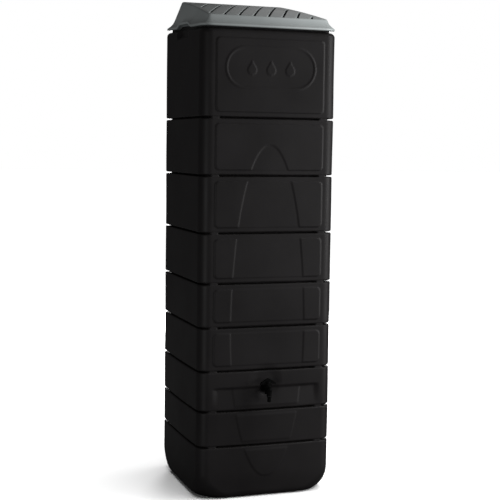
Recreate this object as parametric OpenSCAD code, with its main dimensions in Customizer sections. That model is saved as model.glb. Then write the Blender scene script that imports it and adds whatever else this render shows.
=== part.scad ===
// Tall square rain barrel: ribbed plastic tank, lift-off sloping lid, quarter-turn tap.
// Origin: centre of the underside. +Z up, +X to the right, the front faces -Y.

/* [Tank] */
// Width of the tank across the front
body_w = 600; // [580:1:640]
// Depth of the tank from front to back
body_d = 595; // [575:1:640]
// Radius of the upright corners
corner_r = 48; // [42:1:60]
// Wall thickness
wall = 5; // [4:0.5:6]
// Heights of the four lowest bands, from the floor up
lower_bands = [227, 152, 171, 185]; // [150:1:260]
// Heights of the four bands above them
upper_bands = [186, 212, 240, 240]; // [150:1:260]
// Height of the lid seat above the last groove, at mid depth
top_band = 385; // [360:1:420]

/* [Grooves and relief] */
// Depth of the hoop grooves
groove_depth = 25; // [20:1:27]
// Clear height of a hoop groove between its rounded lips
groove_gap = 7; // [6:1:12]
// Rounding of the groove edges
lip_r = 6; // [5:1:8]
// Rounding of the underside edge
base_r = 30; // [20:1:34]
// Height over which the lower corners draw in
ball_h = 110; // [90:1:130]
// Width of the raised front panels
panel_w = 476; // [440:1:480]
// Height the front panels stand proud
panel_rise = 3; // [2:0.5:4]
// Half width of the tall pointed oval on the front
oval_half_w = 165; // [140:1:180]

/* [Lid] */
// Rise of the lid seat towards the back, in degrees
seat_tilt = 2.5; // [0:0.5:4]
// Slope of the lid top down to the front, in degrees
lid_slope = 11.6; // [9:0.1:13]
// Thickness of the lid
lid_wall = 4; // [3:0.5:5]
// Width of a lid slot
slot_w = 10; // [7:0.5:11]
// Number of lid slots
slot_count = 10; // [8:1:10]
// Distance from slot to slot across the lid
slot_pitch = 64.5; // [58:0.5:65]

/* [Tap] */
// Height of the tap centre line above the floor
tap_z = 472; // [462:1:476]
// Offset of the tap from the middle of the front
tap_x = -6; // [-20:1:20]
// Width of the T handle
handle_w = 68; // [60:1:68]
// Outside radius of the hose tail
tail_r = 8; // [7:0.5:9]

/* [Connections] */
// Height of the drain centre line
drain_z = 75; // [70:1:90]
// Height of the filler inlet centre line
inlet_z = 1830; // [1750:1:1850]
// Outside radius of the inlet spigot
spigot_r = 16; // [12:0.5:20]
// Distance between the wall brackets
bracket_pitch = 300; // [200:10:360]
// Radius of the wall screw holes
bracket_hole_r = 4.5; // [3.5:0.5:6]

/* [Hidden] */
$fn = 64;
fit_gap = 0.05;
clear = 0.4;
over = 1;
groove_tip = 3;

// Tank outline
half_w = body_w / 2;
half_d = body_d / 2;
band_h = concat(lower_bands, upper_bands);
function groove_z(i) = i < 0 ? 0 : groove_z(i - 1) + band_h[i];
last_groove = len(band_h) - 1;
seat_z = groove_z(last_groove) + top_band;
column_h = seat_z + 40;
neck_drop = 8;
shoulder_r = 20;
neck_inset = 24;
neck_wall = 8;
neck_rise = 10;
mouth_inset = neck_inset + neck_wall;

// Lower corners
ball_centre = 124;
ball_top_r = (ball_centre - corner_r) * sqrt(2) + corner_r;
ball_foot_r = ball_centre - base_r;
ball_dr = ball_top_r - ball_foot_r;
ball_arc_r = (ball_dr * ball_dr + ball_h * ball_h) / (2 * ball_dr);
floor_t = 6;

// Front relief
panel_margin = 24;
panel_top_gap = 58;
panel_r = 16;
first_panel_band = 3;
oval_rise = 2;
oval_top_z = 1502;
oval_mid_z = 710;
oval_foot_z = 90;
rib_x = 238;
rib_w = 36;
rib_sink = 1;
badge_r = 88;
badge_straight = 112;
badge_line = 9;
badge_z = groove_z(last_groove) + 207;
drop_r = 20;
drop_pitch = 84;

// Finger grips under the lid rim
grip_w = 160;
grip_h = 40;
grip_depth = 16;
grip_lift = 12;

// Tap shelf and tap
front_y = -half_d;
shelf_w = 460;
shelf_depth = 8;
shelf_low_z = groove_z(1) + 14;
shelf_high_z = tap_z + 4;
spot_r = 27;
seat_y = front_y + shelf_depth;
boss_r = 32;
boss_l = 24;
bush_r = 20;
thread_r = 13.2;
seal_t = 2.5;
flange_r = 20;
flange_t = 4;
hex_r = 17;
hex_t = 7;
barrel_r = 12.5;
plug_y = front_y - 36;
spout_y = front_y - 54;
plug_r = 9;
plug_low_z = tap_z - 14;
plug_groove_r = 7.4;
plug_groove_h = 1.8;
plug_seal_ring = 8.2;
plug_seal_r = 0.78;
plug_seal_step = 10;
housing_top_z = tap_z + 17;
housing_r = 14;
water_r = 6.5;
stem_r = 5;
gland_t = 6;
hub_low_z = housing_top_z + gland_t + 0.5;
hub_h = 12;
hub_r = 10.5;
stem_in_hub = 9;
handle_top_z = tap_z + 47;
handle_t = 9;
screw_shank_r = 1.65;
screw_head_r = 4;
screw_head_h = 2.6;
screw_sink = 8;
spout_r = 11;
spout_low_z = tap_z - 24;
tail_low_z = tap_z - 50;
tail_bore_r = 5.5;
tail_stub_r = 7.5;
tail_stub_l = 9;
collar_t = 4;
outlet_seal_t = 1.5;
drain_hex_r = 14;
drain_hex_t = 10;
drain_thread_l = boss_l - 6;

// Lid, measured from the seat plane
rim_w = body_w;
rim_d = body_d;
rim_r = 6;
rim_t = 2 * rim_r;
side_flare = 24;
front_flare = 20;
back_flare = 24;
side_lean = 20;
front_lean = 12;
back_lean = 17;
lid_front_y = -266;
lid_front_z = seat_z + 37.5;
lid_cut_h = 220;
slot_turn = 23;
slot_end_r = 8;
slot_shift = 7.5;
slot_low_y = 9;
slot_run = 490;
slot_left_low = -250;
slot_left_high = -192;
slot_right_low = 222;
slot_right_high = 228;
slot_slope = tan(slot_turn);
left_slope = (slot_left_high - slot_left_low) / slot_run;
right_slope = (slot_right_high - slot_right_low) / slot_run;
lid_mouth_inset = neck_inset - 2;
ledge_z = neck_rise + fit_gap;
screen_t = 1.2;
frame_t = 3;
frame_w = 14;
screen_front_y = -236;
screen_back_y = 210;
screen_front_half = 240;
screen_back_half = 212;
screw_inset = 7;
mid_screw = 0.62;
screen_screw_r = 1.5;
screen_head_r = 3.5;
screen_head_t = 2;
screen_screw_grip = 2.5;
pilot_l = 4;

// Wall brackets
insert_r = 8;
insert_l = 18;
bracket_bolt_r = 4;
bolt_head_r = 7.5;
bolt_head_h = 5.3;
bolt_short = 4;
bracket_w = 40;
bracket_t = 4;
bracket_step = 16;
bracket_bend = 1.7;
bracket_bolt_z = 1900;
bracket_low_z = 1880;
bracket_step_z = 1945;
bracket_top_z = 2060;
bracket_hole_z = 2040;
washer_t = 1.6;
washer_r = 8.5;

// Inlet
inlet_flange_r = 30;
inlet_flange_t = 4;
inlet_thread_r = 20;
inlet_l = 40;
inlet_bore_r = 13;
gasket_t = 3;
inlet_nut_r = 29;
inlet_nut_t = 9;
inlet_tail = 6;

// ---- shared shapes ----

module rounded_rect(w, d, r) {
    square([w - 2 * r, d], center = true);
    square([w, d - 2 * r], center = true);
    for (sx = [-1, 1], sy = [-1, 1])
        translate([sx * (w / 2 - r), sy * (d / 2 - r)]) circle(r);
}

module slab(w, d, r, low, high) {
    translate([0, 0, low]) linear_extrude(high - low) rounded_rect(w, d, r);
}

// A square column with rounded corners whose wall follows the 2D profile in children(0):
// x runs outwards from the corner axis, y runs up.
module swept_column(w, d, r, height) {
    for (q = [0 : 3]) {
        run = q % 2 == 0 ? d - 2 * r : w - 2 * r;
        reach = q % 2 == 0 ? w / 2 - r : d / 2 - r;
        side = q % 2 == 0 ? d / 2 - r : w / 2 - r;
        rotate(q * 90) {
            translate([reach, run / 2, 0]) rotate([90, 0, 0])
                linear_extrude(run) children(0);
            translate([reach, side, 0]) rotate_extrude(angle = 90) children(0);
        }
    }
    translate([-w / 2 + r, -d / 2 + r, 0]) cube([w - 2 * r, d - 2 * r, height]);
}

module on_seat() {
    translate([0, 0, seat_z]) rotate([seat_tilt, 0, 0]) children();
}

module on_lid_top() {
    translate([0, lid_front_y, lid_front_z]) rotate([lid_slope, 0, 0]) children();
}

module at_tap() {
    translate([tap_x, 0, 0]) children();
}

// A cylinder lying along Y, from y0 towards the front for length l
module rod_y(r, y0, l, z) {
    translate([0, y0, z]) rotate([90, 0, 0]) cylinder(r = r, h = l);
}

// A cylinder lying along X, from x0 outwards for length l
module rod_x(r, x0, l, z) {
    translate([x0, 0, z]) rotate([0, 90, 0]) cylinder(r = r, h = l);
}

// ---- tank ----

// A V groove with rounded lips, cut into the wall profile at height z
module groove_profile(z) {
    edge = groove_gap / 2;
    tip = groove_tip / 2;
    translate([corner_r, z]) polygon([[-groove_depth, -tip], [-lip_r, -edge], [over, -edge],
        [over, edge], [-lip_r, edge], [-groove_depth, tip]]);
    difference() {
        translate([corner_r - lip_r, z - edge - lip_r])
            square([lip_r + over, groove_gap + 2 * lip_r]);
        for (s = [-1, 1])
            translate([corner_r - lip_r, z + s * (edge + lip_r)]) circle(lip_r);
    }
}

module wall_profile() {
    difference() {
        square([corner_r, column_h]);
        for (i = [0 : last_groove]) groove_profile(groove_z(i));
        difference() {
            translate([corner_r - base_r, -over]) square([base_r + over, base_r + over]);
            translate([corner_r - base_r, base_r]) circle(base_r);
        }
    }
}

// Everything inside the drawn-in lower corners, made smaller by inset
module ball_form(inset) {
    reach_x = half_w - ball_centre;
    reach_y = half_d - ball_centre;
    translate([-half_w, -reach_y, -over]) cube([body_w, 2 * reach_y, column_h + 2 * over]);
    translate([-reach_x, -half_d, -over]) cube([2 * reach_x, body_d, column_h + 2 * over]);
    for (sx = [-1, 1], sy = [-1, 1])
        translate([sx * reach_x, sy * reach_y, -over]) rotate_extrude() {
            intersection() {
                square([ball_top_r + over, ball_h + over]);
                translate([ball_top_r - ball_arc_r, ball_h + over])
                    circle(ball_arc_r - inset);
            }
            translate([0, ball_h + over])
                square([ball_top_r - inset, column_h - ball_h + over]);
        }
}

// Everything below the rounded, inclined shoulder
module shoulder_form() {
    on_seat() {
        slab(body_w + 2 - 2 * shoulder_r, body_d + 2 - 2 * shoulder_r, corner_r - shoulder_r + 1,
            -shoulder_r - neck_drop, -neck_drop);
        translate([0, 0, -neck_drop - 2 * shoulder_r])
            swept_column(body_w + 2, body_d + 2, corner_r + 1, 2 * shoulder_r) difference() {
                square([corner_r + 1, 2 * shoulder_r]);
                difference() {
                    translate([corner_r + 1 - shoulder_r, shoulder_r])
                        square(shoulder_r + over);
                    translate([corner_r + 1 - shoulder_r, shoulder_r]) circle(shoulder_r);
                }
            }
    }
    on_seat() translate([-body_w, -body_d, -2 * column_h])
        cube([2 * body_w, 2 * body_d, 2 * column_h - neck_drop - shoulder_r]);
}

module tank_outside() {
    intersection() {
        swept_column(body_w, body_d, corner_r, column_h) wall_profile();
        ball_form(0);
        shoulder_form();
    }
    on_seat() slab(body_w - 2 * neck_inset, body_d - 2 * neck_inset, corner_r - neck_inset,
        -2 * shoulder_r, neck_rise);
}

module tank_inside() {
    rib_in = 2 * (groove_depth + wall);
    rib_half = groove_gap / 2 + wall;
    intersection() {
        union() {
            slab(body_w - 2 * base_r, body_d - 2 * base_r, corner_r - base_r + wall,
                floor_t, groove_z(0));
            for (i = [0 : last_groove]) {
                low = i == 0 ? base_r + wall : groove_z(i - 1) + rib_half;
                slab(body_w - 2 * wall, body_d - 2 * wall, corner_r - wall,
                    low, groove_z(i) - rib_half);
                slab(body_w - rib_in, body_d - rib_in, corner_r - rib_in / 2,
                    groove_z(i) - rib_half - over, groove_z(i) + rib_half + over);
            }
            slab(body_w - 2 * wall, body_d - 2 * wall, corner_r - wall,
                groove_z(last_groove) + rib_half, column_h);
        }
        ball_form(wall);
        on_seat() translate([-body_w, -body_d, -2 * column_h])
            cube([2 * body_w, 2 * body_d, 2 * column_h - neck_drop - shoulder_r]);
    }
    on_seat() slab(body_w - 2 * mouth_inset, body_d - 2 * mouth_inset, corner_r - mouth_inset,
        -2 * shoulder_r, neck_rise + over);
}

// Half width of the pointed oval at height z
function oval_half(z) = z > oval_mid_z
    ? oval_half_w * sqrt(1 - pow((z - oval_mid_z) / (oval_top_z - oval_mid_z), 2))
    : oval_half_w * sqrt(1 - pow((oval_mid_z - z) / (oval_mid_z - oval_foot_z), 2));

module oval_outline() {
    steps = 24;
    rise = (oval_top_z - oval_foot_z) / steps;
    right = [for (k = [0 : steps]) [oval_half(oval_foot_z + k * rise),
        oval_foot_z + k * rise]];
    left = [for (k = [steps - 1 : -1 : 1]) [-oval_half(oval_foot_z + k * rise),
        oval_foot_z + k * rise]];
    polygon(concat(right, left));
}

module on_front(depth, height) {
    translate([0, front_y + depth, 0]) rotate([90, 0, 0]) linear_extrude(depth + height)
        children();
}

module raised_panels() {
    for (k = [first_panel_band : last_groove + 1]) {
        low = groove_z(k - 1) + panel_margin;
        high = k > last_groove ? seat_z - panel_top_gap : groove_z(k) - panel_margin;
        translate([0, (low + high) / 2]) rounded_rect(panel_w, high - low, panel_r);
    }
}

module stadium(straight, r) {
    square([2 * straight, 2 * r], center = true);
    for (s = [-1, 1]) translate([s * straight, 0]) circle(r);
}

module water_drop() {
    circle(drop_r);
    polygon([[-drop_r * cos(30), drop_r * sin(30)], [0, 2 * drop_r],
        [drop_r * cos(30), drop_r * sin(30)]]);
}

// Plain long badge: a ring around three water drops
module badge() {
    translate([0, badge_z]) {
        difference() {
            stadium(badge_straight, badge_r);
            stadium(badge_straight, badge_r - badge_line);
        }
        for (i = [-1 : 1]) translate([i * drop_pitch, -drop_r / 2]) water_drop();
    }
}

module front_relief() {
    difference() {
        on_front(over, panel_rise) raised_panels();
        on_front(oval_rise - panel_rise, panel_rise + over) oval_outline();
    }
    on_front(over, panel_rise + oval_rise) badge();
    intersection() {
        on_front(over, oval_rise) oval_outline();
        for (k = [0 : first_panel_band - 2])
            translate([-half_w, -body_d, (k == 0 ? 0 : groove_z(k - 1)) + panel_margin])
                cube([body_w, body_d, band_h[k] - 2 * panel_margin]);
    }
}

module groove_ribs() {
    for (i = [0 : last_groove], s = [-1, 1])
        translate([s * rib_x - rib_w / 2, front_y + rib_sink,
            groove_z(i) - groove_gap / 2 - lip_r])
            cube([rib_w, groove_depth, groove_gap + 2 * lip_r]);
}

module grip_block(extra) {
    for (s = [-1, 1])
        on_seat() translate([s * half_w, 0, -neck_drop - grip_h - extra + over])
            translate([0, 0, (grip_h + extra) / 2])
                cube([2 * (grip_depth + extra), grip_w + 2 * extra, grip_h + extra],
                    center = true);
}

// A bar across the front with the given outline, seen from the side
module across_front(w, points) {
    translate([-w / 2, front_y, 0]) rotate([90, 0, 90]) linear_extrude(w) polygon(points);
}

module tank_bosses() {
    intersection() {
        swept_column(body_w, body_d, corner_r, column_h) wall_profile();
        union() {
            across_front(shelf_w + 2 * wall, [[over, shelf_low_z], [wall - over, shelf_low_z],
                [shelf_depth + wall, shelf_high_z], [shelf_depth + wall, shelf_high_z + wall],
                [over, shelf_high_z + wall]]);
            at_tap() rod_y(boss_r, seat_y + boss_l, boss_l + shelf_depth - over, tap_z);
            rod_x(boss_r, half_w - boss_l, boss_l - over, drain_z);
            for (s = [-1, 1]) translate([s * bracket_pitch / 2, 0, 0])
                rod_y(insert_r + wall, half_d - over, insert_l + wall, bracket_bolt_z);
        }
    }
}

module tank_cuts() {
    grip_block(0);
    across_front(shelf_w, [[-over, shelf_low_z], [0, shelf_low_z], [shelf_depth, shelf_high_z],
        [-over, shelf_high_z]]);
    at_tap() rod_y(spot_r, seat_y, shelf_depth + over, tap_z);
    at_tap() rod_y(bush_r, seat_y + boss_l + over, boss_l + 2 * over, tap_z);
    rod_x(bush_r, half_w - boss_l - over, boss_l + 2 * over, drain_z);
    rod_x(inlet_thread_r + fit_gap, half_w - 2 * wall, 3 * wall, inlet_z);
    for (s = [-1, 1]) translate([s * bracket_pitch / 2, 0, 0])
        rod_y(insert_r, half_d + over, insert_l + over, bracket_bolt_z);
}

module tank_body() {
    color([0.13, 0.125, 0.13]) difference() {
        union() {
            difference() {
                tank_outside();
                tank_inside();
            }
            intersection() {
                grip_block(wall);
                tank_outside();
            }
            tank_bosses();
            front_relief();
            groove_ribs();
        }
        tank_cuts();
    }
}

module tap_bush() {
    color([0.78, 0.62, 0.3]) at_tap() difference() {
        rod_y(bush_r, seat_y + boss_l, boss_l, tap_z);
        rod_y(thread_r + fit_gap, seat_y + boss_l + over, boss_l + 2 * over, tap_z);
    }
}

module drain_bush() {
    color([0.78, 0.62, 0.3]) difference() {
        rod_x(bush_r, half_w - boss_l, boss_l, drain_z);
        rod_x(thread_r + fit_gap, half_w - boss_l - over, boss_l + 2 * over, drain_z);
    }
}

module bracket_inserts() {
    color([0.78, 0.62, 0.3]) for (s = [-1, 1]) translate([s * bracket_pitch / 2, 0, 0])
        difference() {
            rod_y(insert_r, half_d, insert_l, bracket_bolt_z);
            rod_y(bracket_bolt_r + fit_gap, half_d + over, insert_l, bracket_bolt_z);
        }
}

// ---- wall brackets ----

module wall_brackets() {
    color([0.6, 0.61, 0.62]) for (s = [-1, 1])
        translate([s * bracket_pitch / 2, half_d, 0]) difference() {
            translate([bracket_w / 2, 0, 0]) rotate([0, -90, 0])
                linear_extrude(bracket_w) polygon([
                    [bracket_low_z, 0], [bracket_step_z, 0],
                    [bracket_step_z + bracket_step, bracket_step], [bracket_top_z, bracket_step],
                    [bracket_top_z, bracket_step + bracket_t],
                    [bracket_step_z + bracket_step - bracket_bend, bracket_step + bracket_t],
                    [bracket_step_z - bracket_bend, bracket_t], [bracket_low_z, bracket_t]]);
            rod_y(bracket_bolt_r + clear, bracket_t + over, bracket_t + 2 * over,
                bracket_bolt_z);
            rod_y(bracket_hole_r, bracket_step + bracket_t + over, bracket_t + 2 * over,
                bracket_hole_z);
        }
}

module bracket_washers() {
    color([0.7, 0.71, 0.72]) for (s = [-1, 1]) translate([s * bracket_pitch / 2, 0, 0])
        difference() {
            rod_y(washer_r, half_d + bracket_t + washer_t, washer_t, bracket_bolt_z);
            rod_y(bracket_bolt_r + clear, half_d + bracket_t + washer_t + over,
                washer_t + 2 * over, bracket_bolt_z);
        }
}

module bracket_bolts() {
    head_y = half_d + bracket_t + washer_t;
    color([0.7, 0.71, 0.72]) for (s = [-1, 1]) translate([s * bracket_pitch / 2, 0, 0]) {
        translate([0, head_y, bracket_bolt_z]) rotate([-90, 0, 0])
            cylinder(r = bolt_head_r, h = bolt_head_h, $fn = 6);
        rod_y(bracket_bolt_r, head_y + over, head_y - half_d + insert_l - bolt_short + over,
            bracket_bolt_z);
    }
}

// ---- lid ----

// One outer flank of the lid in section: x outwards from the middle, y up from the seat.
// A rounded rim, a hollow flare above it, then a straight leaning wall.
module flank(half, flare, lean) {
    rim_foot = half - rim_r;
    foot = rim_foot - flare;
    top = rim_t + flare + lid_cut_h;
    polygon([[0, 0], [rim_foot, 0], [rim_foot, rim_t], [foot, rim_t + flare],
        [foot - tan(lean) * lid_cut_h, top], [0, top]]);
    translate([rim_foot, rim_r]) circle(rim_r);
    difference() {
        translate([foot, rim_t]) square(flare);
        translate([rim_foot, rim_t + flare]) circle(flare);
    }
}

module lid_block(inset) {
    intersection() {
        on_seat() translate([0, rim_d / 2, 0]) rotate([90, 0, 0]) linear_extrude(rim_d) {
            flank(rim_w / 2 - inset, side_flare, side_lean);
            mirror([1, 0, 0]) flank(rim_w / 2 - inset, side_flare, side_lean);
        }
        on_seat() translate([-rim_w / 2, 0, 0]) rotate([90, 0, 90]) linear_extrude(rim_w) {
            flank(rim_d / 2 - inset, back_flare, back_lean);
            mirror([1, 0, 0]) flank(rim_d / 2 - inset, front_flare, front_lean);
        }
        on_seat() slab(rim_w, rim_d, corner_r, -over, lid_cut_h);
        on_lid_top() translate([-body_w, -body_d, -2 * body_w - inset])
            cube([2 * body_w, 3 * body_d, 2 * body_w]);
    }
}

// Slots run diagonally in the lid-top plane: x across, y up the slope from the front edge.
// Each starts and ends on the border of a four-cornered field.
function slot_mid_x(k) = slot_shift + (k - (slot_count - 1) / 2) * slot_pitch;
function slot_x(k, y) = slot_mid_x(k) + (y - slot_run / 2) * slot_slope;
function slot_start(k) =
    max(0, (slot_left_low - slot_x(k, 0)) / (slot_slope - left_slope));
function slot_stop(k) =
    min(slot_run, (slot_right_low - slot_x(k, 0)) / (slot_slope - right_slope));

module slot_cut(k) {
    y0 = slot_start(k);
    y1 = slot_stop(k);
    translate([slot_x(k, y0), y0]) {
        circle(slot_end_r);
        rotate(-slot_turn) translate([-slot_w / 2, 0])
            square([slot_w, (y1 - y0) / cos(slot_turn)]);
    }
    translate([slot_x(k, y1), y1]) circle(slot_end_r);
}

// The lid drops over the tank's neck and rests on it with an inner ledge.
module lid_shell() {
    color([0.5, 0.52, 0.52]) difference() {
        lid_block(0);
        intersection() {
            lid_block(lid_wall);
            on_seat() translate([-body_w, -body_d, ledge_z + lid_wall])
                cube([2 * body_w, 2 * body_d, body_w]);
        }
        on_seat() slab(body_w - 2 * lid_mouth_inset, body_d - 2 * lid_mouth_inset,
            corner_r - lid_mouth_inset, -over, ledge_z);
        on_seat() slab(body_w - 2 * mouth_inset, body_d - 2 * mouth_inset,
            corner_r - mouth_inset, 0, ledge_z + lid_wall + over);
        for (s = [-1, 1])
            on_seat() translate([s * half_w, 0, 0])
                cube([2 * lid_mouth_inset, grip_w, 2 * grip_lift], center = true);
        on_lid_top() translate([0, slot_low_y, -2 * lid_wall]) linear_extrude(3 * lid_wall)
            for (k = [0 : slot_count - 1]) slot_cut(k);
        screen_screw_places() translate([0, 0, -lid_wall - over])
            cylinder(r = screen_screw_r + fit_gap, h = pilot_l);
    }
}

module screen_plate(grow, t) {
    linear_extrude(t) polygon([
        [-screen_front_half - grow, screen_front_y - lid_front_y - grow],
        [screen_front_half + grow, screen_front_y - lid_front_y - grow],
        [screen_back_half + grow, screen_back_y - lid_front_y + grow],
        [-screen_back_half - grow, screen_back_y - lid_front_y + grow]]);
}

module screen_screw_places() {
    low = screen_front_y - lid_front_y + screw_inset;
    high = screen_back_y - lid_front_y - screw_inset;
    on_lid_top() for (s = [-1, 1]) {
        translate([s * (screen_front_half - screw_inset - 1), low, 0]) children();
        translate([s * (screen_back_half - screw_inset + 1), high, 0]) children();
        translate([s * (screen_front_half - screw_inset
            - mid_screw * (screen_front_half - screen_back_half)),
            low + mid_screw * (high - low), 0]) children();
    }
}

module insect_screen() {
    color([0.35, 0.36, 0.37]) difference() {
        on_lid_top() translate([0, 0, -lid_wall - screen_t]) screen_plate(0, screen_t);
        screen_screw_places() translate([0, 0, -3 * lid_wall])
            cylinder(r = screen_screw_r + clear, h = 4 * lid_wall);
    }
}

module screen_frame() {
    color([0.2, 0.2, 0.21]) difference() {
        on_lid_top() translate([0, 0, -lid_wall - screen_t - frame_t]) difference() {
            screen_plate(0, frame_t);
            translate([0, 0, -over]) screen_plate(-frame_w, frame_t + 2 * over);
        }
        screen_screw_places() translate([0, 0, -3 * lid_wall])
            cylinder(r = screen_screw_r + clear, h = 4 * lid_wall);
    }
}

module screen_screws() {
    head_z = -lid_wall - screen_t - frame_t;
    color([0.7, 0.71, 0.72]) screen_screw_places() {
        translate([0, 0, head_z - screen_head_t]) cylinder(r = screen_head_r, h = screen_head_t);
        translate([0, 0, head_z - over])
            cylinder(r = screen_screw_r, h = frame_t + screen_t + screen_screw_grip + over);
    }
}

// ---- tap ----

module tap_seal() {
    color([0.05, 0.05, 0.05]) at_tap() difference() {
        rod_y(flange_r - 1, seat_y, seal_t, tap_z);
        rod_y(thread_r + clear, seat_y + over, seal_t + 2 * over, tap_z);
    }
}

module tap_body() {
    flange_y = seat_y - seal_t;
    color([0.03, 0.03, 0.03]) at_tap() difference() {
        union() {
            rod_y(thread_r, seat_y + boss_l - 2, boss_l - 2 + seal_t + over, tap_z);
            rod_y(flange_r, flange_y, flange_t, tap_z);
            translate([0, flange_y - flange_t, tap_z]) rotate([90, 0, 0])
                cylinder(r = hex_r, h = hex_t, $fn = 6);
            rod_y(barrel_r, flange_y, flange_y - spout_y, tap_z);
            translate([0, plug_y, plug_low_z - 4])
                cylinder(r = housing_r, h = housing_top_z - plug_low_z + 4);
            translate([0, spout_y, spout_low_z]) cylinder(r = spout_r, h = tap_z - spout_low_z);
            translate([0, spout_y, tap_z]) sphere(barrel_r);
        }
        rod_y(water_r, seat_y + boss_l, seat_y + boss_l - spout_y, tap_z);
        translate([0, plug_y, plug_low_z - fit_gap])
            cylinder(r = plug_r + fit_gap, h = housing_top_z - plug_low_z + over);
        translate([0, spout_y, spout_low_z - over])
            cylinder(r = water_r, h = tap_z - spout_low_z + over);
        translate([0, spout_y, spout_low_z - over])
            cylinder(r = tail_stub_r + fit_gap, h = tail_stub_l + 2 * over);
    }
}

module tap_plug() {
    color([0.75, 0.75, 0.72]) at_tap() difference() {
        translate([0, plug_y, 0]) {
            translate([0, 0, plug_low_z])
                cylinder(r = plug_r, h = housing_top_z - plug_low_z - fit_gap);
            translate([0, 0, tap_z]) cylinder(r = stem_r, h = hub_low_z + stem_in_hub - tap_z);
        }
        translate([-2 * plug_r, plug_y, tap_z]) rotate([0, 90, 0])
            cylinder(r = water_r - clear, h = 4 * plug_r);
        for (s = [-1, 1])
            translate([0, plug_y, tap_z + s * plug_seal_step - plug_groove_h / 2]) difference() {
                cylinder(r = plug_r + over, h = plug_groove_h);
                translate([0, 0, -over]) cylinder(r = plug_groove_r, h = plug_groove_h + 2 * over);
            }
        translate([0, plug_y, hub_low_z])
            cylinder(r = screw_shank_r + fit_gap, h = 3 * hub_h);
    }
}

module plug_seals() {
    color([0.05, 0.05, 0.05]) at_tap() for (s = [-1, 1])
        translate([0, plug_y, tap_z + s * plug_seal_step])
            rotate_extrude() translate([plug_seal_ring, 0]) circle(plug_seal_r, $fn = 24);
}

module plug_gland() {
    color([0.03, 0.03, 0.03]) at_tap() difference() {
        translate([0, plug_y, housing_top_z]) cylinder(r = 13, h = gland_t, $fn = 6);
        translate([0, plug_y, housing_top_z - over]) cylinder(r = stem_r + fit_gap,
            h = gland_t + 2 * over);
    }
}

module tap_handle() {
    low = hub_low_z;
    half = handle_w / 2;
    right = [[0, handle_top_z], [half * 0.2, handle_top_z - 2], [half * 0.45, low + 17],
        [half - 1, low + 5], [half, low - 2], [half - 9, low - 1], [hub_r, low + 3]];
    left = [for (k = [len(right) - 1 : -1 : 1]) [-right[k][0], right[k][1]]];
    color([0.03, 0.03, 0.03]) at_tap() difference() {
        union() {
            translate([0, plug_y, low]) cylinder(r = hub_r, h = hub_h);
            translate([0, plug_y + handle_t / 2, 0]) rotate([90, 0, 0])
                linear_extrude(handle_t) polygon(concat(right, left));
        }
        translate([0, plug_y, low - over])
            cylinder(r = stem_r + fit_gap, h = stem_in_hub + 2 * over);
        translate([0, plug_y, low]) cylinder(r = screw_shank_r + clear, h = 3 * hub_h);
        translate([0, plug_y, handle_top_z - screw_sink])
            cylinder(r = screw_head_r + clear, h = screw_sink + over);
    }
}

module handle_screw() {
    color([0.7, 0.71, 0.72]) at_tap() translate([0, plug_y, 0]) {
        translate([0, 0, handle_top_z - screw_sink])
            cylinder(r = screw_head_r, h = screw_head_h);
        translate([0, 0, hub_low_z + over])
            cylinder(r = screw_shank_r, h = handle_top_z - screw_sink - hub_low_z);
    }
}

module outlet_seal() {
    color([0.05, 0.05, 0.05]) at_tap() translate([0, spout_y, spout_low_z - outlet_seal_t])
        difference() {
            cylinder(r = spout_r - 1, h = outlet_seal_t);
            translate([0, 0, -over])
                cylinder(r = tail_stub_r + clear, h = outlet_seal_t + 2 * over);
        }
}

module hose_tail() {
    collar_z = spout_low_z - outlet_seal_t - collar_t;
    color([0.03, 0.03, 0.03]) at_tap() translate([0, spout_y, 0]) difference() {
        union() {
            translate([0, 0, collar_z]) cylinder(r = tail_stub_r,
                h = spout_low_z - collar_z + tail_stub_l);
            translate([0, 0, collar_z]) cylinder(r = spout_r, h = collar_t);
            translate([0, 0, tail_low_z]) cylinder(r = tail_r, h = collar_z - tail_low_z);
        }
        translate([0, 0, tail_low_z - over]) cylinder(r = tail_bore_r,
            h = spout_low_z - tail_low_z + tail_stub_l + 2 * over);
    }
}

// ---- drain ----

module drain_seal() {
    color([0.05, 0.05, 0.05]) difference() {
        rod_x(flange_r - 1, half_w, seal_t, drain_z);
        rod_x(thread_r + clear, half_w - over, seal_t + 2 * over, drain_z);
    }
}

module drain_plug() {
    head_x = half_w + seal_t;
    color([0.03, 0.03, 0.03]) {
        rod_x(thread_r, half_w - drain_thread_l, drain_thread_l + seal_t + over, drain_z);
        rod_x(flange_r, head_x, flange_t, drain_z);
        translate([head_x + flange_t, 0, drain_z]) rotate([0, 90, 0])
            cylinder(r = drain_hex_r, h = drain_hex_t, $fn = 6);
    }
}

// ---- filler inlet ----

module inlet_gasket() {
    color([0.05, 0.05, 0.05]) difference() {
        rod_x(inlet_flange_r - 2, half_w, gasket_t, inlet_z);
        rod_x(inlet_thread_r + clear, half_w - over, gasket_t + 2 * over, inlet_z);
    }
}

module inlet_spigot() {
    low_x = half_w - wall - inlet_nut_t - inlet_tail;
    high_x = half_w + gasket_t;
    color([0.03, 0.03, 0.03]) difference() {
        union() {
            rod_x(inlet_thread_r, low_x, high_x - low_x + over, inlet_z);
            rod_x(inlet_flange_r, high_x, inlet_flange_t, inlet_z);
            rod_x(spigot_r, high_x, inlet_l, inlet_z);
        }
        rod_x(inlet_bore_r, low_x - over, high_x - low_x + inlet_l + 2 * over, inlet_z);
    }
}

module inlet_nut() {
    nut_x = half_w - wall - inlet_nut_t;
    color([0.03, 0.03, 0.03]) difference() {
        translate([nut_x, 0, inlet_z]) rotate([0, 90, 0])
            cylinder(r = inlet_nut_r, h = inlet_nut_t, $fn = 6);
        rod_x(inlet_thread_r + fit_gap, nut_x - over, inlet_nut_t + 2 * over, inlet_z);
    }
}

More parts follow.
